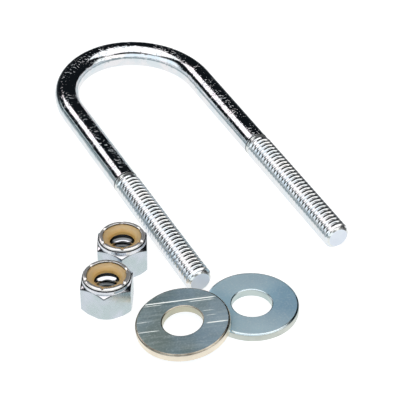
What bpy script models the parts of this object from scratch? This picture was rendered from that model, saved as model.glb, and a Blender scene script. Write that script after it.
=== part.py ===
"""U-bolt pad eye, laid out as a kit on a flat surface.

One bent rod with a rolled thread on each leg, two nylon-insert lock nuts standing on their
bearing faces, and two plain washers, the front one leaning on the rim of the rear one.
Metres, +Z up. The surface is z = 0, the legs point to -Y and the bend is at +Y.
"""

import math

import bmesh
import bpy
from mathutils import Vector

MM = 0.001
GAP = 0.3 * MM                      # clearance kept between pieces that rest on each other

# U-bolt: 1/4-20 thread on both legs of a 1/4 in rod
ROD_D = 6.35 * MM                   # crest diameter of the thread
SHANK_D = 6.2 * MM                  # plain rod, a little under the rolled crests
PITCH = 1.27 * MM
THREAD_DEPTH = 0.61 * PITCH
THREAD_TURNS = 32
LEG_SPACING = 35.2 * MM             # between the legs' axes
LEG_LENGTH = 72.7 * MM              # from the bend's centre to the leg's end face
BEND_DEPTH = 20.25 * MM             # from the bend's centre to the rod's axis at the crown
END_CHAMFER = 0.95 * MM
ROD_SIDES = 16
BEND_STEPS = 28

# nylon-insert lock nut for the same thread
NUT_FLATS = 11.11 * MM
NUT_HEIGHT = 8.33 * MM
HEX_HEIGHT = 6.3 * MM               # up to where the chamfer starts on each corner
CHAMFER_ANGLE = math.radians(33)
SEAT_R = 5.6 * MM                   # edge of the bearing face
SEAT_ANGLE = math.radians(42)
COLLAR_R = 5.45 * MM
COLLAR_TOP_R = 5.3 * MM
LIP_R = 4.8 * MM                    # top of the rolled lip
LIP_INNER_R = 4.45 * MM
LIP_UNDER = 0.42 * MM               # how far the rolled edge comes down over the insert
POCKET_R = 4.75 * MM                # room for the insert under the lip
POCKET_FLOOR = 5.85 * MM
PILOT_R = 1.5 * MM                  # hole in the blank before it is bored
NUT_THREAD_TURNS = 4
NUT_SIDES = 36

# nylon insert
INSERT_R = POCKET_R - GAP
INSERT_TOP_R = LIP_INNER_R - GAP
INSERT_BORE_R = 2.8 * MM
INSERT_MOUTH_R = 4.0 * MM

# plain washer
WASHER_R = 10.4 * MM
WASHER_HOLE_R = 4.45 * MM
WASHER_T = 1.9 * MM
WASHER_EDGE = 0.25 * MM
WASHER_SIDES = 48

# the kit's layout, measured from the centre of the bend
FRONT_NUT = Vector((-37.5, -66.7)) * MM
REAR_NUT = Vector((-29.0, -55.9)) * MM
FRONT_NUT_TURN = math.radians(0.6)
REAR_NUT_TURN = math.radians(5.2)
REAR_WASHER = Vector((-9.85, -82.65)) * MM
WASHER_STEP = 16.7 * MM             # front washer's centre is this far to -X of the rear one's

NUT_CORNER_R = NUT_FLATS / math.sqrt(3)
ROD_R = ROD_D / 2
SHANK_R = SHANK_D / 2
THREAD_LENGTH = THREAD_TURNS * PITCH


def clear_scene():
    for obj in list(bpy.data.objects):
        bpy.data.objects.remove(obj, do_unlink=True)


def make_material(name, color, roughness, metallic):
    material = bpy.data.materials.new(name)
    material.use_nodes = True
    shader = material.node_tree.nodes["Principled BSDF"]
    shader.inputs["Base Color"].default_value = (*color, 1.0)
    shader.inputs["Roughness"].default_value = roughness
    shader.inputs["Metallic"].default_value = metallic
    material.diffuse_color = (*color, 1.0)
    return material


def finish_mesh(name, bm, material, parent):
    """Turn a bmesh into a smooth-shaded object with its faces pointing out."""
    bmesh.ops.remove_doubles(bm, verts=bm.verts, dist=1e-6)
    bmesh.ops.dissolve_degenerate(bm, edges=bm.edges, dist=1e-7)
    bmesh.ops.recalc_face_normals(bm, faces=bm.faces)
    mesh = bpy.data.meshes.new(name)
    bm.to_mesh(mesh)
    bm.free()
    mesh.shade_smooth()
    mesh.set_sharp_from_angle(angle=math.radians(35))
    mesh.materials.append(material)
    obj = bpy.data.objects.new(name, mesh)
    bpy.context.collection.objects.link(obj)
    obj.parent = parent
    return obj


def ring_points(radius, height, sides):
    """A circle of points about Z at one height."""
    step = math.tau / sides
    return [Vector((radius * math.cos(i * step), radius * math.sin(i * step), height))
            for i in range(sides)]


def bridge_rings(bm, rings, closed):
    """Join rings of equal length with quads, in order, and back to the first when closed."""
    loops = [[bm.verts.new(point) for point in ring] for ring in rings]
    count = len(loops[0])
    pairs = list(zip(loops, loops[1:]))
    if closed:
        pairs.append((loops[-1], loops[0]))
    for low, high in pairs:
        for i in range(count):
            j = (i + 1) % count
            bm.faces.new((low[i], low[j], high[j], high[i]))
    return loops


def turned_ring(bm, profile, sides):
    """Turn a closed (radius, height) profile about Z."""
    bridge_rings(bm, [ring_points(radius, height, sides) for radius, height in profile], True)


def thread_rows(start, turns, sides, odd_r, even_r, end_r):
    """Rows of (side, distance, radius) that climb as a helix, two rows for each turn.

    Odd rows run at odd_r and even rows at even_r, which makes a V thread. Rows before and
    after the thread fold onto its two ends, where the radius is end_r, so the helix closes
    onto plain rings, and its first and last half turns run out to end_r.
    """
    stop = start + turns * PITCH
    rows = []
    for k in range(-2, 2 * turns + 3):
        row = []
        for i in range(sides):
            along = start + (k / 2 + i / sides) * PITCH
            inside = min(max(along, start), stop)
            fade = min(1.0, (inside - start) / (PITCH / 2), (stop - inside) / (PITCH / 2))
            radius = odd_r if k % 2 else even_r
            row.append((i, inside, end_r + (radius - end_r) * fade))
        rows.append(row)
    return rows


def add_thread(bm, rows, sides, place):
    """Skin thread rows; points that fold onto one place share one vertex."""
    known = {}

    def vertex(key):
        if key not in known:
            i, along, radius = key
            known[key] = bm.verts.new(place(i * math.tau / sides, along, radius))
        return known[key]

    for k in range(len(rows) - 3):
        for i in range(sides):
            j = (i + 1) % sides
            up = 2 if j == 0 else 0       # the seam joins a row to the one a full turn on
            keys = [rows[k][i], rows[k + up][j], rows[k + 1 + up][j], rows[k + 1][i]]
            corners = [vertex(key) for key in dict.fromkeys(keys)]
            if len(corners) > 2:
                bm.faces.new(corners)


def bend_frame(angle):
    """A point of the rod's centre line round the bend, and the outward direction there.

    The bend is half an ellipse, a little deeper than half a circle, that starts on one leg's
    axis at angle 0 and ends on the other's at pi.
    """
    half = LEG_SPACING / 2
    centre = Vector((half * math.cos(angle), BEND_DEPTH * math.sin(angle), ROD_R))
    tangent = Vector((-half * math.sin(angle), BEND_DEPTH * math.cos(angle), 0)).normalized()
    return centre, tangent.cross(Vector((0, 0, 1)))


def make_u_bolt(material, parent):
    bm = bmesh.new()
    half = LEG_SPACING / 2
    up = Vector((0, 0, 1))

    def leg_place(x):
        """Points round a leg: angles run from up towards +X, a right-hand turn about +Y."""
        def place(angle, along, radius):
            return Vector((x + radius * math.sin(angle), along - LEG_LENGTH,
                           ROD_R + radius * math.cos(angle)))
        return place

    step = math.tau / ROD_SIDES
    root_r = ROD_R - THREAD_DEPTH
    face_r = ROD_R - END_CHAMFER
    for x in (half, -half):
        place = leg_place(x)
        rows = thread_rows(END_CHAMFER, THREAD_TURNS, ROD_SIDES, ROD_R, root_r, SHANK_R)
        add_thread(bm, rows, ROD_SIDES, place)
        stations = [(0, face_r), (END_CHAMFER, SHANK_R)]
        loops = bridge_rings(
            bm, [[place(i * step, d, r) for i in range(ROD_SIDES)] for d, r in stations], False)
        bm.faces.new(loops[0])
    rings = []
    thread_end = END_CHAMFER + THREAD_LENGTH
    rings.append([leg_place(half)(i * step, thread_end, SHANK_R) for i in range(ROD_SIDES)])
    for k in range(BEND_STEPS + 1):
        centre, side = bend_frame(math.pi * k / BEND_STEPS)
        rings.append([centre + side * SHANK_R * math.sin(i * step)
                      + up * SHANK_R * math.cos(i * step) for i in range(ROD_SIDES)])
    rings.append([leg_place(-half)(-i * step, thread_end, SHANK_R) for i in range(ROD_SIDES)])
    bridge_rings(bm, rings, False)
    return finish_mesh("u_bolt", bm, material, parent)


def hex_cutter():
    """A hexagonal prism as tall as the nut, with a corner on +X."""
    bm = bmesh.new()
    rings = [ring_points(NUT_CORNER_R, z, 6) for z in (-GAP, NUT_HEIGHT + GAP)]
    loops = bridge_rings(bm, rings, False)
    bm.faces.new(loops[0])
    bm.faces.new(loops[-1])
    return bm


def bore_cutter():
    """The threaded hole from the seat up to the insert's pocket, eased at both ends."""
    bm = bmesh.new()
    root_r = ROD_R + 0.05 * MM
    crest_r = root_r - 0.54 * PITCH
    lead = (POCKET_FLOOR - NUT_THREAD_TURNS * PITCH) / 2
    wide_r = 2 * root_r - crest_r

    def place(angle, along, radius):
        return Vector((radius * math.cos(angle), radius * math.sin(angle), along))

    add_thread(bm, thread_rows(lead, NUT_THREAD_TURNS, ROD_SIDES, root_r, crest_r, crest_r),
               ROD_SIDES, place)
    for height, mouth in ((lead, -lead), (POCKET_FLOOR - lead, POCKET_FLOOR + lead)):
        rings = [ring_points(wide_r, mouth, ROD_SIDES), ring_points(crest_r, height, ROD_SIDES)]
        loops = bridge_rings(bm, rings, False)
        bm.faces.new(loops[0])
    return bm


def apply_boolean(bm, cutter_bm, operation):
    """Cut one bmesh with another and return the result as a new bmesh."""
    objects = []
    for source in (bm, cutter_bm):
        bmesh.ops.remove_doubles(source, verts=source.verts, dist=1e-6)
        bmesh.ops.dissolve_degenerate(source, edges=source.edges, dist=1e-7)
        bmesh.ops.recalc_face_normals(source, faces=source.faces)
        mesh = bpy.data.meshes.new("boolean_work")
        source.to_mesh(mesh)
        source.free()
        work = bpy.data.objects.new("boolean_work", mesh)
        bpy.context.collection.objects.link(work)
        objects.append(work)
    body, cutter = objects
    modifier = body.modifiers.new("cut", "BOOLEAN")
    modifier.operation = operation
    modifier.solver = "EXACT"
    modifier.object = cutter
    graph = bpy.context.evaluated_depsgraph_get()
    graph.update()
    result = bmesh.new()
    result.from_mesh(body.evaluated_get(graph).to_mesh())
    for work in objects:
        bpy.data.objects.remove(work, do_unlink=True)
    return result


def make_nut_body(name, material, parent, place, turn):
    """Hexagon with a crimped collar: a turned blank trimmed by a prism, then bored."""
    slope = math.tan(CHAMFER_ANGLE)
    shoulder = HEX_HEIGHT + (NUT_CORNER_R - COLLAR_R) * slope
    wide = NUT_CORNER_R + GAP
    profile = [(POCKET_R, POCKET_FLOOR), (PILOT_R, POCKET_FLOOR), (PILOT_R, 0),
               (SEAT_R, 0), (wide, (wide - SEAT_R) * math.tan(SEAT_ANGLE)),
               (wide, HEX_HEIGHT - GAP * slope), (COLLAR_R, shoulder),
               (COLLAR_TOP_R, NUT_HEIGHT - 0.6 * MM),
               (COLLAR_TOP_R - 0.15 * MM, NUT_HEIGHT - 0.15 * MM),
               (LIP_R, NUT_HEIGHT), (LIP_INNER_R, NUT_HEIGHT - 0.12 * MM),
               (LIP_INNER_R, NUT_HEIGHT - LIP_UNDER), (POCKET_R, NUT_HEIGHT - LIP_UNDER)]
    blank = bmesh.new()
    turned_ring(blank, profile, NUT_SIDES)
    trimmed = apply_boolean(blank, hex_cutter(), "INTERSECT")
    bored = apply_boolean(trimmed, bore_cutter(), "DIFFERENCE")
    obj = finish_mesh(name, bored, material, parent)
    obj.location = (place.x, place.y, 0)
    obj.rotation_euler = (0, 0, turn)
    return obj


def make_insert(name, material, parent, place, turn):
    """The nylon ring, seated in the nut's pocket and showing inside the lip."""
    low = POCKET_FLOOR + GAP
    under_lip = NUT_HEIGHT - LIP_UNDER - GAP
    top = NUT_HEIGHT - LIP_UNDER
    profile = [(INSERT_BORE_R, low), (INSERT_R, low), (INSERT_R, under_lip),
               (INSERT_TOP_R, under_lip), (INSERT_TOP_R, top), (INSERT_MOUTH_R, top),
               (INSERT_BORE_R + 0.35 * MM, low + 0.75 * MM), (INSERT_BORE_R, low + 0.4 * MM)]
    bm = bmesh.new()
    turned_ring(bm, profile, NUT_SIDES)
    obj = finish_mesh(name, bm, material, parent)
    obj.location = (place.x, place.y, 0)
    obj.rotation_euler = (0, 0, turn)
    return obj


def make_washer(name, material, parent):
    """A flat ring with its four edges eased, standing on its own z = 0."""
    edge = WASHER_EDGE
    profile = [(WASHER_HOLE_R + edge, 0), (WASHER_R - edge, 0), (WASHER_R, edge),
               (WASHER_R, WASHER_T - edge), (WASHER_R - edge, WASHER_T),
               (WASHER_HOLE_R + edge, WASHER_T), (WASHER_HOLE_R, WASHER_T - edge),
               (WASHER_HOLE_R, edge)]
    bm = bmesh.new()
    turned_ring(bm, profile, WASHER_SIDES)
    return finish_mesh(name, bm, material, parent)


def main():
    clear_scene()
    zinc = make_material("bright_zinc", (0.72, 0.76, 0.80), 0.22, 1.0)
    nut_zinc = make_material("satin_zinc", (0.68, 0.73, 0.77), 0.32, 1.0)
    washer_zinc = make_material("blue_zinc", (0.42, 0.50, 0.53), 0.35, 1.0)
    nylon = make_material("tan_nylon", (0.72, 0.53, 0.29), 0.45, 0.0)

    # the kit's own origin is the middle of its outline on the surface
    left = FRONT_NUT.x - NUT_CORNER_R * math.cos(FRONT_NUT_TURN)
    right = LEG_SPACING / 2 + ROD_R
    front = REAR_WASHER.y - WASHER_R
    back = BEND_DEPTH + SHANK_R
    kit = bpy.data.objects.new("kit", None)
    bpy.context.collection.objects.link(kit)
    kit.location = (-(left + right) / 2, -(front + back) / 2, 0)

    make_u_bolt(zinc, kit)
    for side, place, turn in (("front", FRONT_NUT, FRONT_NUT_TURN),
                              ("rear", REAR_NUT, REAR_NUT_TURN)):
        make_nut_body(side + "_nut_body", nut_zinc, kit, place, turn)
        make_insert(side + "_nut_insert", nylon, kit, place, turn)

    rear_washer = make_washer("rear_washer", washer_zinc, kit)
    rear_washer.location = (REAR_WASHER.x, REAR_WASHER.y, 0)
    front_washer = make_washer("front_washer", washer_zinc, kit)
    # it rests on the surface at its far edge and on the rear washer's rim at the near one
    lean = math.atan(WASHER_T / WASHER_STEP)
    front_washer.rotation_euler = (0, -lean, 0)
    front_washer.location = (REAR_WASHER.x - WASHER_STEP, REAR_WASHER.y,
                             GAP + WASHER_R * math.sin(lean))


main()
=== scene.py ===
"""Looks of the U-bolt pad eye kit: rolled threads, crimped lock nuts, nylon rings, stamped washers.

Every piece replaces its coarse CAD node, at that node's own place. Lengths are given as numbers
times MM. A compass angle runs from +Y to +X. Compass angles and elevations are in degrees.
"""

import math

import bmesh
import bpy
import numpy as np
from mathutils import Matrix, Vector

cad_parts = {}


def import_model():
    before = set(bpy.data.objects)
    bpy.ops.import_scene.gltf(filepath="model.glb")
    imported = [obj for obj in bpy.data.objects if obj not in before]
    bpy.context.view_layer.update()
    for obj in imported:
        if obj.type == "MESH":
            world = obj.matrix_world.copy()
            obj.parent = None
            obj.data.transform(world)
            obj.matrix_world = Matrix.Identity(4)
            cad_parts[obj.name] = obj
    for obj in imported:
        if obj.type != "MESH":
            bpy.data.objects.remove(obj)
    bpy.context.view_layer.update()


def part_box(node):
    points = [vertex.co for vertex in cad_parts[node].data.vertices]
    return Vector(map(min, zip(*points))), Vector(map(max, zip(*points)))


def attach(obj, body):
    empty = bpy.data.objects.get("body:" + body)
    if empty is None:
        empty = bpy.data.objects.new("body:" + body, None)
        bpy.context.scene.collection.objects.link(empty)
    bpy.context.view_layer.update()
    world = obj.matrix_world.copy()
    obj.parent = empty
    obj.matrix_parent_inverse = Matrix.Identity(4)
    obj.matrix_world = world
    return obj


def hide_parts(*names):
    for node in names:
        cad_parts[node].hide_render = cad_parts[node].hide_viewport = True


MM = 0.001

# U-bolt
ROD_R = 3.175 * MM
SHANK_R = 3.1 * MM
BEND_DEPTH = 20.25 * MM
ROD_SIDES = 72
BEND_STEPS = 120

# rolled thread
PITCH = 1.27 * MM
ROOT_R = ROD_R - 0.42 * PITCH
THREAD_LENGTH = 31.1 * PITCH
FLANK_TOP = 0.23                    # in pitches from the middle of the crest
FLANK_FOOT = 0.43
FLANK_BLUR = (-0.04, -0.02, 0, 0.02, 0.04)
CREST_FADE = 0.6 * PITCH            # over this last stretch the crest sinks to the neck
ROOT_FADE = 1.6 * PITCH             # and over this one the root rises to it
ROWS_PER_TURN = 14
END_FACE_R = 2.3 * MM
END_CONE = 0.34 * MM                # smooth part of the leg's chamfer, up to the first groove

# neck behind the last thread: a cone that widens to the shank and ends in a narrow scored ring,
# as (distance from the thread, radius)
NECK_R = 2.9 * MM
SCORE_R = SHANK_R - 0.14 * MM
NECK = ((0, NECK_R), (0.45 * MM, SHANK_R - 0.04 * MM), (0.68 * MM, SHANK_R - 0.02 * MM),
        (0.71 * MM, SCORE_R), (0.97 * MM, SCORE_R), (1.0 * MM, SHANK_R - 0.02 * MM),
        (1.04 * MM, SHANK_R), (1.15 * MM, SHANK_R))
NECK_LENGTH = NECK[-1][0]
SCORE_START = 0.69 * MM
SCORE_END = 1.0 * MM

# lock nut, with heights above its bearing face
NUT_FLATS = 11.11 * MM
NUT_CORNER_R = NUT_FLATS / math.sqrt(3)
CORNER_ROUND = 0.25 * MM
HEX_HEIGHT = 6.3 * MM
CHAMFER_SLOPE = math.tan(math.radians(33))
SEAT_R = 5.6 * MM
SEAT_SLOPE = math.tan(math.radians(42))
COLLAR_R = 5.45 * MM
LEDGE_R = 5.08 * MM                 # ledge between the collar and the lip, dark with painted shade
LEDGE_LOW = 7.55 * MM
LEDGE_HIGH = 7.82 * MM
LIP_R = 5.2 * MM
LIP_MOUTH_R = 4.5 * MM
POCKET_R = 4.72 * MM                # pocket under the lip for the nylon ring
BORE_R = 2.54 * MM
BORE_ROOT_R = 3.2 * MM
BORE_MOUTH_R = 3.3 * MM
BORE_LOW = 0.5 * MM
BORE_HIGH = 4.35 * MM
BORE_FADE = 0.5 * PITCH             # the bore's grooves fade in and out over this length
# the bore shines over these heights; elsewhere it carries painted shade
BORE_GLINT = {"front": (4.4 * MM, 4.9 * MM), "rear": (4.4 * MM, 4.6 * MM)}
NUT_SIDES = 180
NUT_TURN = {"front": math.radians(0.6), "rear": math.radians(5.2)}
DENT_TURN = {"front": math.radians(-5), "rear": math.radians(2)}
DENT_HALF_WIDTH = math.radians(8)

# washer
WASHER_R = 10.4 * MM
WASHER_HOLE_R = 4.45 * MM
WASHER_T = 1.9 * MM
WASHER_STEP = 16.7 * MM             # from the front washer's centre to the rear one's
WASHER_LEAN = math.atan(WASHER_T / WASHER_STEP)
WASHER_SIDES = 160
GRAIN_TURN = math.radians(22)       # turns the washers' grain onto X
# (offset across the grain, start, end, half width) in millimetres from the washer's centre
SCRATCHES = ((6.2, -9.8, 8.2, 0.2), (5.6, -9.6, -3.5, 0.08), (5.55, 1.5, 7.8, 0.1),
             (-2.2, -10.3, -4.8, 0.1), (0.8, -10.4, -7, 0.07), (0.7, 4.8, 8, 0.06),
             (-1.6, 4.8, 10.4, 0.2), (2.2, 4.2, 7.5, 0.06))

# numbers of the materials in each piece's list
SHANK, THREAD, END_FACE, CONE, SCORE_SHADE = range(5)
HEXAGON, TURNED, PAINTED_SHADE, LIP = range(4)
FLAT, RIM, ROLLED, WALL = range(4)

# noise scales, in waves per metre
CLOUD_SCALE = 260.0
GLOSS_SCALE = 900.0
MOTTLE_SCALE = 1500.0
PATCH_SCALE = 170.0
SHEET_CLOUD_SCALE = 110.0
SPECK_SCALE = 2200.0
GRAIN_SCALE = (150.0, 2500.0, 150.0)
NYLON_SCALE = 500.0

# pale tints on the washers' sheet; the fan tint is a painted highlight
SPECK_TINT = (0.85, 0.92, 0.95)
GRAIN_TINT = (0.9, 0.95, 0.95)
FAN_HIGHLIGHT_TINT = (0.85, 0.98, 1.0)
SCRATCH_TINT = (0.98, 1.0, 0.97)

# tints of the floor as the metal mirrors it
STEEP_TINT = (0.93, 0.95, 0.95)
LEG_TINT = (0.20, 0.27, 0.29)
BEND_TINT = (0.30, 0.37, 0.39)
PAST_TINT = (0.03, 0.035, 0.04)

# tints of the studio
STUDIO_DARK = (0.006, 0.008, 0.010)
BEHIND_TINT = (1.2, 1.2, 1.17)
FRONT_LEFT_TINT = (1.0, 1.1, 1.15)
STRIP_TINT = (0.50, 0.58, 0.60)

# studio: soft boxes as (compass, elevation, half width, half height, softness of edge, colour)
SOFT_BOXES = ((-27, 35, 12, 10, 0.04, (1.5, 1.40, 1.42)),
              (206, 80, 44, 32, 0.08, (1.3, 1.3, 1.3)))
FLOOR_HALF = 400 * MM
FLOOR_DROP = 0.05 * MM
FLOOR_GLOW = 0.82

# camera
CAMERA_TARGET = Vector((8.66, -7.63, 0)) * MM
CAMERA_DISTANCE = 397.9 * MM
CAMERA_COMPASS = 26.05
CAMERA_ELEVATION = 38
CAMERA_LENS = 149.83                # millimetres, for Blender's 36 mm sensor

UP = Vector((0, 0, 1))


def direction(compass, elevation=0):
    """Unit vector for a compass angle and an elevation."""
    a, e = math.radians(compass), math.radians(elevation)
    return Vector((math.sin(a) * math.cos(e), math.cos(a) * math.cos(e), math.sin(e)))


# ------------------------------------------------------------------ mesh helpers

def add_grid(bm, rings, closed=False, seam=0):
    """Quads between rings of equal length. With a seam, a ring's end joins the ring that far on."""
    verts = [[bm.verts.new(point) for point in ring] for ring in rings]
    count, sides = len(verts), len(verts[0])
    last = count if closed else count - 1 - seam
    for k in range(last):
        for i in range(sides):
            j = (i + 1) % sides
            up = seam if j == 0 else 0
            bm.faces.new((verts[k][i], verts[(k + up) % count][j],
                          verts[(k + 1 + up) % count][j], verts[(k + 1) % count][i]))


def make_piece(name, bm, materials, body, node, place=None):
    """Turns the mesh into an object on its body, in place of its CAD node."""
    bmesh.ops.remove_doubles(bm, verts=bm.verts, dist=1e-7)
    bmesh.ops.dissolve_degenerate(bm, edges=bm.edges, dist=1e-8)
    bmesh.ops.recalc_face_normals(bm, faces=bm.faces)
    mesh = bpy.data.meshes.new(name)
    bm.to_mesh(mesh)
    bm.free()
    for material in materials:
        mesh.materials.append(material)
    mesh.shade_smooth()
    mesh.set_sharp_from_angle(angle=math.radians(40))
    piece = bpy.data.objects.new(name, mesh)
    bpy.context.scene.collection.objects.link(piece)
    if place is not None:
        piece.matrix_world = place
    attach(piece, body)
    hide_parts(node)


def rounded(corners, steps=4):
    """An open outline from (radius, height, rounding) corners, the same number of points each."""
    points = []
    for i, (r, z, rounding) in enumerate(corners):
        here = np.array((r, z))
        if i in (0, len(corners) - 1) or rounding == 0:
            points.append(here)
            continue
        before = np.array(corners[i - 1][:2]) - here
        after = np.array(corners[i + 1][:2]) - here
        len_a, len_b = np.linalg.norm(before), np.linalg.norm(after)
        reach = min(rounding, 0.45 * len_a, 0.45 * len_b)
        start, end = here + before / len_a * reach, here + after / len_b * reach
        for k in range(steps + 1):
            t = k / steps
            points.append((1 - t) ** 2 * start + 2 * t * (1 - t) * here + t * t * end)
    return points


def thread_form(phase):
    """Height of a rolled thread, 1 on the crest at phase 0 and 0 in the root at phase 0.5.

    Its flanks are straight slopes, averaged over a few shifts so that they run out softly.
    """
    away = abs((phase + 0.5) % 1.0 - 0.5)
    flank = FLANK_FOOT - FLANK_TOP
    blur = [min(max((FLANK_FOOT - abs(away + shift)) / flank, 0), 1) for shift in FLANK_BLUR]
    return sum(blur) / len(blur)


def helix_rings(length, sides, crest, root, place):
    """Rings that climb a right-hand thread of this length and fold flat onto its two ends.

    crest(s) and root(s) are the radii at a distance s, equal at both ends. place(angle, s,
    radius) is the point there.
    """
    turns = math.ceil(length / PITCH)
    rings = []
    for k in range(-ROWS_PER_TURN, (turns + 1) * ROWS_PER_TURN + 1):
        form = thread_form(k / ROWS_PER_TURN)
        ring = []
        for i in range(sides):
            s = min(max((k / ROWS_PER_TURN + i / sides) * PITCH, 0), length)
            radius = root(s) + (crest(s) - root(s)) * form
            ring.append(place(i * math.tau / sides, s, radius))
        rings.append(ring)
    return rings


# ------------------------------------------------------------------ U-bolt

def thread_crest(s):
    """Crest radius: chamfered at the leg's end, sinking to the neck after the last turn."""
    fall = min(1.0, (THREAD_LENGTH - s) / CREST_FADE)
    return min(ROD_R, END_FACE_R + s, NECK_R + (ROD_R - NECK_R) * fall)


def thread_root(s):
    """Root radius: never over the crest, rising to the neck over the last turns."""
    rise = min(1.0, (THREAD_LENGTH - s) / ROOT_FADE)
    return min(thread_crest(s), NECK_R + (ROOT_R - NECK_R) * rise)


def bolt_material(s):
    """Number of the material at a distance s from the leg's end."""
    if s < 0.001 * MM:
        return END_FACE
    if s < END_CONE:
        return CONE
    if s < THREAD_LENGTH:
        return THREAD
    if s < THREAD_LENGTH + SCORE_START:
        return CONE
    return SCORE_SHADE if s < THREAD_LENGTH + SCORE_END else SHANK


def make_u_bolt(materials):
    """One rod swept down both legs and round the bend, with a rolled thread on each leg."""
    low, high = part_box("u_bolt")
    left, right = low.x + ROD_R, high.x - ROD_R
    middle, half = (left + right) / 2, (right - left) / 2
    axis_z = ROD_R
    bm = bmesh.new()
    step = math.tau / ROD_SIDES
    for x in (left, right):

        def place(angle, s, radius, x=x):
            # angles run from up towards +X, a right-hand turn about +Y
            return Vector((x + radius * math.sin(angle), low.y + s,
                           axis_z + radius * math.cos(angle)))

        rings = helix_rings(THREAD_LENGTH, ROD_SIDES, thread_crest, thread_root, place)
        add_grid(bm, rings, seam=ROWS_PER_TURN)
        bm.faces.new([bm.verts.new(place(i * step, 0, END_FACE_R)) for i in range(ROD_SIDES)])
        add_grid(bm, [[place(i * step, THREAD_LENGTH + s, radius) for i in range(ROD_SIDES)]
                      for s, radius in NECK])

    # shank and bend, as (centre, outward direction), from the right leg round to the left
    shank_y = low.y + THREAD_LENGTH + NECK_LENGTH
    bend_y = high.y - SHANK_R - BEND_DEPTH
    stations = [(Vector((right, shank_y, axis_z)), Vector((1, 0, 0)))]
    for k in range(BEND_STEPS + 1):
        angle = math.pi * k / BEND_STEPS
        centre = Vector((middle + half * math.cos(angle),
                         bend_y + BEND_DEPTH * math.sin(angle), axis_z))
        along = Vector((-half * math.sin(angle), BEND_DEPTH * math.cos(angle), 0)).normalized()
        stations.append((centre, along.cross(UP)))
    stations.append((Vector((left, shank_y, axis_z)), Vector((-1, 0, 0))))
    add_grid(bm, [[centre + SHANK_R * (out * math.sin(i * step) + UP * math.cos(i * step))
                   for i in range(ROD_SIDES)] for centre, out in stations])
    for face in bm.faces:
        face.material_index = bolt_material(face.calc_center_median().y - low.y)
    make_piece("u_bolt_rod", bm, materials, "bolt", "u_bolt")


# ------------------------------------------------------------------ lock nuts

def hex_radius(angle):
    """Distance from the nut's axis to its side in this direction, with rounded corners."""
    off = (angle + math.pi / 6) % (math.pi / 3) - math.pi / 6
    flat = NUT_FLATS / 2 / math.cos(math.pi / 6 - abs(off))
    round_centre = (NUT_FLATS / 2 - CORNER_ROUND) / math.cos(math.pi / 6)
    inside = CORNER_ROUND ** 2 - (round_centre * math.sin(off)) ** 2
    edge = math.atan2(CORNER_ROUND * math.sin(math.pi / 6),
                      round_centre + CORNER_ROUND * math.cos(math.pi / 6))
    if abs(off) < edge and inside > 0:
        return round_centre * math.cos(off) + math.sqrt(inside)
    return flat


def nut_outline(angle, dent_turn):
    """The nut's (radius, height, rounding) corners in one direction, from bore to bore."""
    side = hex_radius(angle)
    off = (angle - dent_turn + math.pi / 6) % (math.pi / 3) - math.pi / 6
    dent = math.cos(min(abs(off) / DENT_HALF_WIDTH, 1) * math.pi / 2) ** 2
    seat = min(SEAT_R, side - 0.1 * MM)
    foot = max((side - SEAT_R) * SEAT_SLOPE, 0.1 * MM)
    shoulder = HEX_HEIGHT + (NUT_CORNER_R - side) * CHAMFER_SLOPE
    collar = HEX_HEIGHT + (NUT_CORNER_R - COLLAR_R) * CHAMFER_SLOPE
    return [
        # bearing face and hexagon
        (BORE_R, BORE_LOW, 0), (3.35 * MM, 0, 0.1 * MM), (seat, 0, 0.12 * MM),
        (side, foot, 0.2 * MM), (side, shoulder, 0.2 * MM),
        # turned collar and the ledge on it
        (COLLAR_R, collar, 0.2 * MM), (5.42 * MM, 7.58 * MM, 0.05 * MM),
        (LEDGE_R, 7.6 * MM, 0.03 * MM), (LEDGE_R, 7.78 * MM, 0.03 * MM),
        # lip, crimped inward, which each dent presses down and narrows
        (LIP_R, 7.84 * MM, 0.05 * MM), (LIP_R, (8.12 - 0.1 * dent) * MM, 0.15 * MM),
        ((4.8 + 0.05 * dent) * MM, (8.33 - 0.3 * dent) * MM, 0.25 * MM),
        ((4.36 + 0.34 * dent) * MM, (8.26 - 0.24 * dent) * MM, 0.14 * MM),
        ((4.3 + 0.28 * dent) * MM, 7.98 * MM, 0.1 * MM),
        # pocket
        (POCKET_R, 7.86 * MM, 0), (POCKET_R, 5.85 * MM, 0.1 * MM),
        # the bore's wide mouth and its chamfer
        (BORE_MOUTH_R, 5.85 * MM, 0.08 * MM), (3.25 * MM, 4.95 * MM, 0),
        (2.82 * MM, 4.62 * MM, 0), (2.6 * MM, 4.45 * MM, 0), (BORE_R, BORE_HIGH, 0)]


def nut_material(middle, upright, glint):
    """Number of a face's material, from its middle and how level it lies.

    The middle is measured from the foot of the nut's axis. glint is the stretch of the bore's
    mouth that shines. The bore and its grooves, the pocket, the ledge, the lip's mouth and the
    rounded edges of the hexagon's chamfer are dark: painted shade.
    """
    radius = math.hypot(middle.x, middle.y)
    if radius < POCKET_R + 0.03 * MM and BORE_LOW < middle.z < LEDGE_HIGH:
        lit = glint[0] < middle.z < glint[1] and radius < BORE_MOUTH_R
        return TURNED if lit else PAINTED_SHADE
    if middle.z > LEDGE_HIGH:
        return PAINTED_SHADE if radius < LIP_MOUTH_R and upright < 0.75 else LIP
    if middle.z > LEDGE_LOW and radius < COLLAR_R - 0.07 * MM:
        return PAINTED_SHADE
    if middle.z > HEX_HEIGHT - 0.3 * MM and radius > COLLAR_R + 0.08 * MM:
        if upright >= 0.8:
            return TURNED
        return PAINTED_SHADE if upright > 0.3 else HEXAGON
    return TURNED if middle.z > HEX_HEIGHT else HEXAGON


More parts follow.
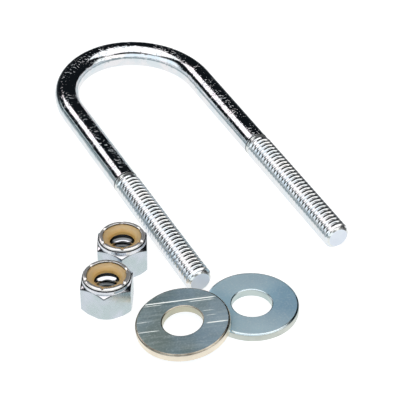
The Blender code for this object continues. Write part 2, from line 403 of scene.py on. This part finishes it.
def make_nut(side, materials):
    """The steel body: a turned outline that follows the hexagon, and a threaded bore."""
    node = side + "_nut_body"
    low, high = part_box(node)
    axis = Vector((low.x + high.x, low.y + high.y, 0)) / 2
    turn = Matrix.Translation(axis) @ Matrix.Rotation(NUT_TURN[side], 4, "Z")
    step = math.tau / NUT_SIDES
    columns = [rounded(nut_outline(i * step, DENT_TURN[side])) for i in range(NUT_SIDES)]
    length = BORE_HIGH - BORE_LOW

    def place(angle, s, radius):
        return turn @ Vector((radius * math.cos(angle), radius * math.sin(angle), BORE_LOW + s))

    def groove(s):
        return BORE_R + (BORE_ROOT_R - BORE_R) * min(1.0, s / BORE_FADE, (length - s) / BORE_FADE)

    bm = bmesh.new()
    add_grid(bm, [[place(i * step, columns[i][k][1] - BORE_LOW, columns[i][k][0])
                   for i in range(NUT_SIDES)] for k in range(len(columns[0]))])
    add_grid(bm, helix_rings(length, NUT_SIDES, lambda s: BORE_R, groove, place),
             seam=ROWS_PER_TURN)
    bm.normal_update()
    for face in bm.faces:
        face.material_index = nut_material(face.calc_center_median() - axis,
                                           abs(face.normal.z), BORE_GLINT[side])
    make_piece(side + "_nut", bm, materials, side + "_nut", node)


def make_nylon(side, material):
    """The insert: a ring whose top slopes down into the hole, with an edge under the lip."""
    node = side + "_nut_insert"
    low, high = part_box(node)
    centre = (low + high) / 2
    outline = rounded([
        (2.82 * MM, 6.6 * MM, 0), (2.85 * MM, 7.0 * MM, 0.3 * MM), (3.2 * MM, 7.45 * MM, 0.5 * MM),
        (3.7 * MM, 7.78 * MM, 0.5 * MM), (4.28 * MM, 7.9 * MM, 0.06 * MM),
        (4.28 * MM, 7.8 * MM, 0.03 * MM), (4.66 * MM, 7.78 * MM, 0.03 * MM),
        (4.66 * MM, 6.16 * MM, 0.2 * MM), (2.95 * MM, 6.16 * MM, 0.1 * MM),
        (2.82 * MM, 6.3 * MM, 0)])
    step = math.tau / NUT_SIDES
    bm = bmesh.new()
    add_grid(bm, [[Vector((centre.x + r * math.cos(i * step), centre.y + r * math.sin(i * step), z))
                   for i in range(NUT_SIDES)] for r, z in outline], closed=True)
    make_piece(side + "_nylon_ring", bm, [material], side + "_nut", node)


# ------------------------------------------------------------------ washers

def make_washer(side, lean, materials):
    """A stamped ring: rolled over at its upper edges, sharper below."""
    node = side + "_washer"
    low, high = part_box(node)
    outline = rounded([
        (WASHER_HOLE_R + 0.1 * MM, 0, 0), (WASHER_R, 0, 0.15 * MM),
        (WASHER_R, WASHER_T, 0.6 * MM), (WASHER_HOLE_R, WASHER_T, 0.35 * MM),
        (WASHER_HOLE_R, 0.1 * MM, 0)], steps=7)
    step = math.tau / WASHER_SIDES
    bm = bmesh.new()
    add_grid(bm, [[Vector((r * math.cos(i * step), r * math.sin(i * step), z))
                   for i in range(WASHER_SIDES)] for r, z in outline], closed=True)
    bm.normal_update()
    for face in bm.faces:
        upright = abs(face.normal.z)
        if upright < 0.35:
            middle = face.calc_center_median()
            outside = math.hypot(middle.x, middle.y) > WASHER_R - MM
            face.material_index = RIM if outside else WALL
        else:
            face.material_index = ROLLED if upright < 0.995 else FLAT
    # the middle of its underside, which rises towards +X where it leans
    under = Vector(((low.x + high.x + WASHER_T * math.sin(lean)) / 2, (low.y + high.y) / 2,
                    low.z + WASHER_R * math.sin(lean)))
    place = Matrix.Translation(under) @ Matrix.Rotation(-lean, 4, "Y")
    make_piece(side + "_washer_ring", bm, materials, side + "_washer", node, place)


# ------------------------------------------------------------------ materials

class Nodes:
    """Short calls for building one node tree."""

    def __init__(self, tree):
        self.tree = tree

    def add(self, kind, inputs=None, **settings):
        node = self.tree.nodes.new(kind)
        for key, value in settings.items():
            setattr(node, key, value)
        for key, value in (inputs or {}).items():
            if isinstance(value, bpy.types.NodeSocket):
                self.tree.links.new(value, node.inputs[key])
            else:
                node.inputs[key].default_value = value
        return node

    def math(self, operation, a, b=0.0):
        return self.add("ShaderNodeMath", {0: a, 1: b}, operation=operation).outputs[0]

    def product(self, first, *others):
        for other in others:
            first = self.math("MULTIPLY", first, other)
        return first

    def dot(self, a, b):
        return self.add("ShaderNodeVectorMath", {0: a, 1: b},
                        operation="DOT_PRODUCT").outputs["Value"]

    def split(self, vector):
        return self.add("ShaderNodeSeparateXYZ", {"Vector": vector}).outputs

    def remap(self, value, from_min, from_max, to_min=0.0, to_max=1.0):
        """A smooth step from to_min to to_max while the value goes from from_min to from_max."""
        inputs = {"Value": value, "From Min": from_min, "From Max": from_max,
                  "To Min": to_min, "To Max": to_max}
        return self.add("ShaderNodeMapRange", inputs, interpolation_type="SMOOTHSTEP").outputs[0]

    def noise(self, vector, scale, detail=2.0):
        return self.add("ShaderNodeTexNoise",
                        {"Vector": vector, "Scale": scale, "Detail": detail}).outputs["Fac"]

    def blend(self, fac, a, b):
        mix = self.add("ShaderNodeMix", {"Factor": fac}, data_type="RGBA")
        for index, value in ((6, a), (7, b)):
            if isinstance(value, bpy.types.NodeSocket):
                self.tree.links.new(value, mix.inputs[index])
            else:
                mix.inputs[index].default_value = (*value, 1.0)
        return mix.outputs[2]

    def bump(self, height, strength, distance, normal=None):
        inputs = {"Height": height, "Strength": strength, "Distance": distance}
        if normal is not None:
            inputs["Normal"] = normal
        return self.add("ShaderNodeBump", inputs).outputs[0]


def new_material(name, metallic):
    material = bpy.data.materials.new(name)
    material.use_nodes = True
    nodes = Nodes(material.node_tree)
    shader = material.node_tree.nodes["Principled BSDF"]
    shader.inputs["Metallic"].default_value = metallic
    where = nodes.add("ShaderNodeTexCoord").outputs["Object"]
    return material, nodes, shader, where


def connect(nodes, shader, **sockets):
    for name, value in sockets.items():
        nodes.tree.links.new(value, shader.inputs[name.replace("_", " ")])


def zinc(name, light, dark, rough, mottle, pits=0.0, metallic=1.0):
    """Zinc plating: a fine mottle, a faint drift of tint and gloss, and pits on the top side.

    rough is the lowest and highest roughness, mottle and pits are the strengths of their bumps.
    """
    material, nodes, shader, where = new_material(name, metallic)
    cloud = nodes.remap(nodes.noise(where, CLOUD_SCALE, 3.0), 0.35, 0.65)
    color = nodes.blend(cloud, dark, light)
    gloss = nodes.noise(where, GLOSS_SCALE)
    roughness = nodes.remap(gloss, 0.3, 0.7, rough[0], rough[1])
    normal = nodes.bump(nodes.noise(where, MOTTLE_SCALE), mottle, 0.02 * MM)
    if pits:
        facing = nodes.add("ShaderNodeNewGeometry").outputs["True Normal"]
        on_top = nodes.remap(nodes.split(facing)["Z"], 0.86, 0.95, 0.3, 1.0)
        in_patch = nodes.remap(nodes.noise(where, PATCH_SCALE, 1.0), 0.38, 0.6, 0.25, 1.0)
        pit = nodes.remap(nodes.noise(where, MOTTLE_SCALE, 1.0), 0.55, 0.68)
        normal = nodes.bump(nodes.product(pit, on_top, in_patch), pits, 0.075 * MM, normal)
    connect(nodes, shader, Base_Color=color, Roughness=roughness, Normal=normal)
    return material


def washer_zinc(name, left, right, metallic, brushed, fan, fan_compass, scratches=()):
    """Rolled sheet: fine grain along one direction, clouds of tint, and a few long scratches.

    The tint drifts from left to right as a painted light gradient, half and half with the clouds.
    brushed is the grain's strength. fan is the strength of two painted highlights, soft fans that
    run out from the hole on one compass line. Scratches shine a little with a painted glint.
    """
    material, nodes, shader, where = new_material(name, metallic)
    turned = nodes.add("ShaderNodeVectorRotate", {"Vector": where, "Angle": GRAIN_TURN},
                       rotation_type="Z_AXIS").outputs[0]
    stretched = nodes.add("ShaderNodeMapping", {"Vector": turned, "Scale": GRAIN_SCALE}).outputs[0]
    grain = nodes.noise(stretched, 1.0, 3.0)
    cloud = nodes.remap(nodes.noise(where, SHEET_CLOUD_SCALE, 3.0), 0.3, 0.7)
    speck = nodes.noise(where, SPECK_SCALE)
    x, y = nodes.split(turned)[:2]
    # painted light: the tint drifts from left to right, mixed half and half with the clouds
    painted_light_to_right = nodes.remap(x, -WASHER_R, WASHER_R)
    drift = nodes.math("ADD", nodes.math("MULTIPLY", painted_light_to_right, 0.5),
                       nodes.math("MULTIPLY", cloud, 0.5))
    color = nodes.blend(drift, left, right)
    color = nodes.blend(nodes.remap(speck, 0.45, 0.8, 0.0, 0.35), color, SPECK_TINT)
    color = nodes.blend(nodes.remap(grain, 0.45, 0.7, 0.0, brushed), color, GRAIN_TINT)
    # painted highlight: two soft pale fans out from the hole
    from_hole = nodes.add("ShaderNodeVectorMath", {0: where}, operation="NORMALIZE").outputs[0]
    on_line = nodes.math("ABSOLUTE", nodes.dot(from_hole, direction(fan_compass)))
    color = nodes.blend(nodes.remap(on_line, 0.3, 1.0, 0.0, fan), color, FAN_HIGHLIGHT_TINT)
    roughness = nodes.remap(grain, 0.3, 0.7, 0.33, 0.45)
    height = nodes.math("ADD", nodes.math("MULTIPLY", grain, 3 * brushed), speck)
    glint = 0.0
    for across, start, end, half in scratches:
        off = nodes.math("ABSOLUTE", nodes.math("SUBTRACT", y, across * MM))
        line = nodes.product(nodes.remap(off, half * MM, 0.4 * half * MM),
                             nodes.remap(x, start * MM, (start + 1) * MM),
                             nodes.remap(x, end * MM, (end - 1.5) * MM))
        color = nodes.blend(line, color, SCRATCH_TINT)
        roughness = nodes.math("ADD", roughness, nodes.math("MULTIPLY", line, 0.3))
        height = nodes.math("SUBTRACT", height, line)
        glint = nodes.math("ADD", nodes.math("MULTIPLY", line, 0.4), glint)
    normal = nodes.bump(height, 0.3, 0.02 * MM)
    connect(nodes, shader, Base_Color=color, Roughness=roughness, Normal=normal)
    # the scratches' glow is a painted glint
    if scratches:
        shader.inputs["Emission Color"].default_value = (0.95, 1.0, 0.95, 1.0)
        connect(nodes, shader, Emission_Strength=glint)
    return material


def nylon():
    """Amber nylon, darker deep inside the hole as painted shade, with a faint painted glow there.
    """
    material, nodes, shader, where = new_material("nylon", 0.0)
    cloud = nodes.noise(where, NYLON_SCALE)
    height = nodes.split(where)["Z"]
    # painted shade: darker deep in the hole, lighter towards the top
    painted_depth_shade = nodes.blend(nodes.remap(height, 6.9 * MM, 7.8 * MM), (0.65, 0.42, 0.16),
                        (0.70, 0.50, 0.26))
    color = nodes.blend(nodes.remap(cloud, 0.3, 0.7, 0.0, 0.35), painted_depth_shade, (0.66, 0.43, 0.18))
    normal = nodes.bump(cloud, 0.2, 0.03 * MM)
    # painted glow deep in the hole
    painted_glow = nodes.remap(height, 7.8 * MM, 7.1 * MM, 0.0, 0.12)
    connect(nodes, shader, Base_Color=color, Normal=normal, Emission_Strength=painted_glow)
    shader.inputs["Emission Color"].default_value = (0.75, 0.48, 0.13, 1.0)
    shader.inputs["Roughness"].default_value = 0.38
    shader.inputs["Subsurface Weight"].default_value = 0.25
    shader.inputs["Subsurface Radius"].default_value = (1.0, 0.6, 0.3)
    shader.inputs["Subsurface Scale"].default_value = 0.4 * MM
    return material


def bolt_materials():
    """Shank, thread, end face, cones at both ends of the thread, scored ring in painted shade."""
    return [
        zinc("shank_zinc", (0.90, 0.88, 0.90), (0.78, 0.83, 0.87), (0.05, 0.1), 0.3, pits=1.0),
        zinc("thread_zinc", (0.93, 0.92, 0.93), (0.84, 0.88, 0.92), (0.08, 0.15), 0.1,
             metallic=0.93),
        zinc("end_zinc", (0.76, 0.81, 0.89), (0.72, 0.77, 0.86), (0.4, 0.5), 0.1, metallic=0.1),
        zinc("neck_zinc", (0.92, 0.93, 0.91), (0.84, 0.87, 0.86), (0.15, 0.25), 0.1,
             metallic=0.85),
        # the scored ring is black: painted shade in the groove
        zinc("score_painted_shade", (0.02, 0.02, 0.02), (0.01, 0.01, 0.01), (0.4, 0.5), 0.1, metallic=0.0)]


def nut_materials():
    """Hexagon, turned collar and chamfer, painted shade for the dark parts, lip."""
    return [
        zinc("nut_side_zinc", (0.66, 0.70, 0.77), (0.56, 0.64, 0.66), (0.22, 0.32), 0.12),
        zinc("nut_turned_zinc", (0.86, 0.86, 0.90), (0.78, 0.79, 0.84), (0.07, 0.13), 0.04),
        # painted shade: the bore, the pocket, the ledge, the lip's mouth and the chamfer's edges
        zinc("nut_painted_shade", (0.22, 0.23, 0.24), (0.16, 0.17, 0.18), (0.1, 0.16), 0.1),
        zinc("nut_lip_zinc", (1.0, 0.97, 0.95), (0.93, 0.90, 0.88), (0.12, 0.2), 0.04,
             metallic=0.72)]


def front_washer_materials():
    """Flat sides, rim, rolled edges in painted shade, the hole's wall: warm zinc, worn and
    scratched.
    """
    return [
        washer_zinc("front_washer_zinc", (0.19, 0.26, 0.22), (0.40, 0.57, 0.70), metallic=0.5,
                    brushed=0.18, fan=0.16, fan_compass=100, scratches=SCRATCHES),
        zinc("front_rim_zinc", (1.0, 0.90, 0.76), (0.90, 0.80, 0.66), (0.3, 0.4), 0.3),
        # rolled edges darkened to tan and brown: painted shade
        zinc("front_edge_painted_shade", (0.62, 0.56, 0.46), (0.25, 0.22, 0.18), (0.2, 0.3), 0.3),
        zinc("front_hole_zinc", (0.60, 0.57, 0.44), (0.50, 0.50, 0.42), (0.3, 0.4), 0.3)]


def rear_washer_materials():
    """Flat sides, rim, rolled edges, the hole's wall: blue zinc."""
    return [
        washer_zinc("rear_washer_zinc", (0.48, 0.74, 0.88), (0.31, 0.52, 0.69), metallic=0.3,
                    brushed=0.04, fan=0.38, fan_compass=14),
        zinc("rear_rim_zinc", (0.70, 0.72, 0.67), (0.60, 0.63, 0.58), (0.3, 0.4), 0.3),
        zinc("rear_edge_zinc", (0.80, 0.90, 0.94), (0.70, 0.82, 0.87), (0.12, 0.2), 0.1),
        zinc("rear_hole_zinc", (0.64, 0.72, 0.70), (0.50, 0.60, 0.60), (0.3, 0.4), 0.3)]


# ------------------------------------------------------------------ studio

def make_floor():
    """A plain white floor that looks tinted where metal mirrors it at a slant."""
    mesh = bpy.data.meshes.new("floor")
    mesh.from_pydata([(x * FLOOR_HALF, y * FLOOR_HALF, -FLOOR_DROP)
                      for x, y in ((-1, -1), (1, -1), (1, 1), (-1, 1))], [], [(0, 1, 2, 3)])
    floor = bpy.data.objects.new("floor", mesh)
    bpy.context.scene.collection.objects.link(floor)
    material, nodes, shader, where = new_material("floor_white", 0.0)
    shader.inputs["Base Color"].default_value = (0.4, 0.4, 0.4, 1.0)
    shader.inputs["Roughness"].default_value = 1.0
    shader.inputs["Specular IOR Level"].default_value = 0.0
    shader.inputs["Emission Color"].default_value = (1.0, 1.0, 1.0, 1.0)
    shader.inputs["Emission Strength"].default_value = FLOOR_GLOW
    x, y = nodes.split(where)[:2]
    past_kit = nodes.math("MAXIMUM", nodes.remap(x, 33 * MM, 40 * MM),
                          nodes.remap(y, 58 * MM, 68 * MM))
    far = nodes.blend(nodes.remap(y, 12 * MM, 35 * MM), LEG_TINT, BEND_TINT)
    far = nodes.blend(past_kit, far, PAST_TINT)
    slant = nodes.add("ShaderNodeLayerWeight", {"Blend": 0.5}).outputs["Facing"]
    tint = nodes.blend(nodes.remap(slant, 0.62, 0.76), STEEP_TINT, far)
    mirrored = nodes.add("ShaderNodeEmission", {"Color": tint, "Strength": 1.0})
    in_metal = nodes.add("ShaderNodeLightPath").outputs["Is Glossy Ray"]
    mixed = nodes.add("ShaderNodeMixShader", {0: in_metal, 1: shader.outputs[0],
                                              2: mirrored.outputs[0]})
    surface = material.node_tree.nodes["Material Output"].inputs["Surface"]
    nodes.tree.links.new(mixed.outputs[0], surface)
    mesh.materials.append(material)


def soft_box(nodes, ray, compass, elevation, half_width, half_height, soft):
    """1 inside a rectangular soft box seen in this direction, 0 outside it."""
    ahead = direction(compass, elevation)
    side = direction(compass + 90)
    toward = nodes.dot(ray, ahead)
    depth = nodes.math("MAXIMUM", toward, 0.001)
    mask = nodes.remap(toward, 0.0, 0.05)
    for axis, half in ((side, half_width), (side.cross(ahead), half_height)):
        offset = nodes.math("ABSOLUTE", nodes.math("DIVIDE", nodes.dot(ray, axis), depth))
        edge = math.tan(math.radians(half))
        mask = nodes.product(mask, nodes.remap(offset, edge - soft, edge + soft, 1.0, 0.0))
    return mask


def make_world():
    """A dark studio with soft boxes, and plain white where the camera looks straight at it."""
    world = bpy.data.worlds.new("studio")
    bpy.context.scene.world = world
    world.use_nodes = True
    world.node_tree.nodes.clear()
    nodes = Nodes(world.node_tree)
    ray = nodes.add("ShaderNodeTexCoord").outputs["Generated"]
    height = nodes.split(ray)["Z"]
    # the pale low side of the studio, behind the camera and to its right, then to its left
    low = nodes.remap(height, 0.56, 0.46)
    behind = nodes.remap(nodes.dot(ray, direction(170)), 0.55, 0.75)
    color = nodes.blend(nodes.product(low, behind), STUDIO_DARK, BEHIND_TINT)
    front_left = nodes.remap(nodes.dot(ray, direction(245)), 0.5, 0.68)
    color = nodes.blend(nodes.product(low, front_left), color, FRONT_LEFT_TINT)
    # a grey strip along the horizon to the left
    to_left = nodes.remap(nodes.dot(ray, direction(-60)), 0.8, 0.9)
    strip = nodes.product(to_left, nodes.remap(height, 0.13, 0.07))
    color = nodes.blend(strip, color, STRIP_TINT)
    for compass, elevation, half_width, half_height, soft, tint in SOFT_BOXES:
        mask = soft_box(nodes, ray, compass, elevation, half_width, half_height, soft)
        color = nodes.blend(mask, color, tint)
    seen = nodes.add("ShaderNodeLightPath").outputs["Is Camera Ray"]
    color = nodes.blend(seen, color, (1.0, 1.0, 1.0))
    background = nodes.add("ShaderNodeBackground", {"Color": color, "Strength": 1.0})
    nodes.add("ShaderNodeOutputWorld", {"Surface": background.outputs[0]})


def make_camera():
    data = bpy.data.cameras.new("camera")
    data.lens = CAMERA_LENS
    data.clip_start = 10 * MM
    camera = bpy.data.objects.new("camera", data)
    bpy.context.scene.collection.objects.link(camera)
    ahead = direction(CAMERA_COMPASS, -CAMERA_ELEVATION)
    camera.location = CAMERA_TARGET - ahead * CAMERA_DISTANCE
    camera.rotation_euler = ahead.to_track_quat("-Z", "Y").to_euler()
    bpy.context.scene.camera = camera


def main():
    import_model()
    make_u_bolt(bolt_materials())
    steel, insert = nut_materials(), nylon()
    for side in ("front", "rear"):
        make_nut(side, steel)
        make_nylon(side, insert)
    make_washer("rear", 0.0, rear_washer_materials())
    make_washer("front", WASHER_LEAN, front_washer_materials())
    make_floor()
    make_world()
    make_camera()
    bpy.context.scene.view_settings.view_transform = "Standard"


main()
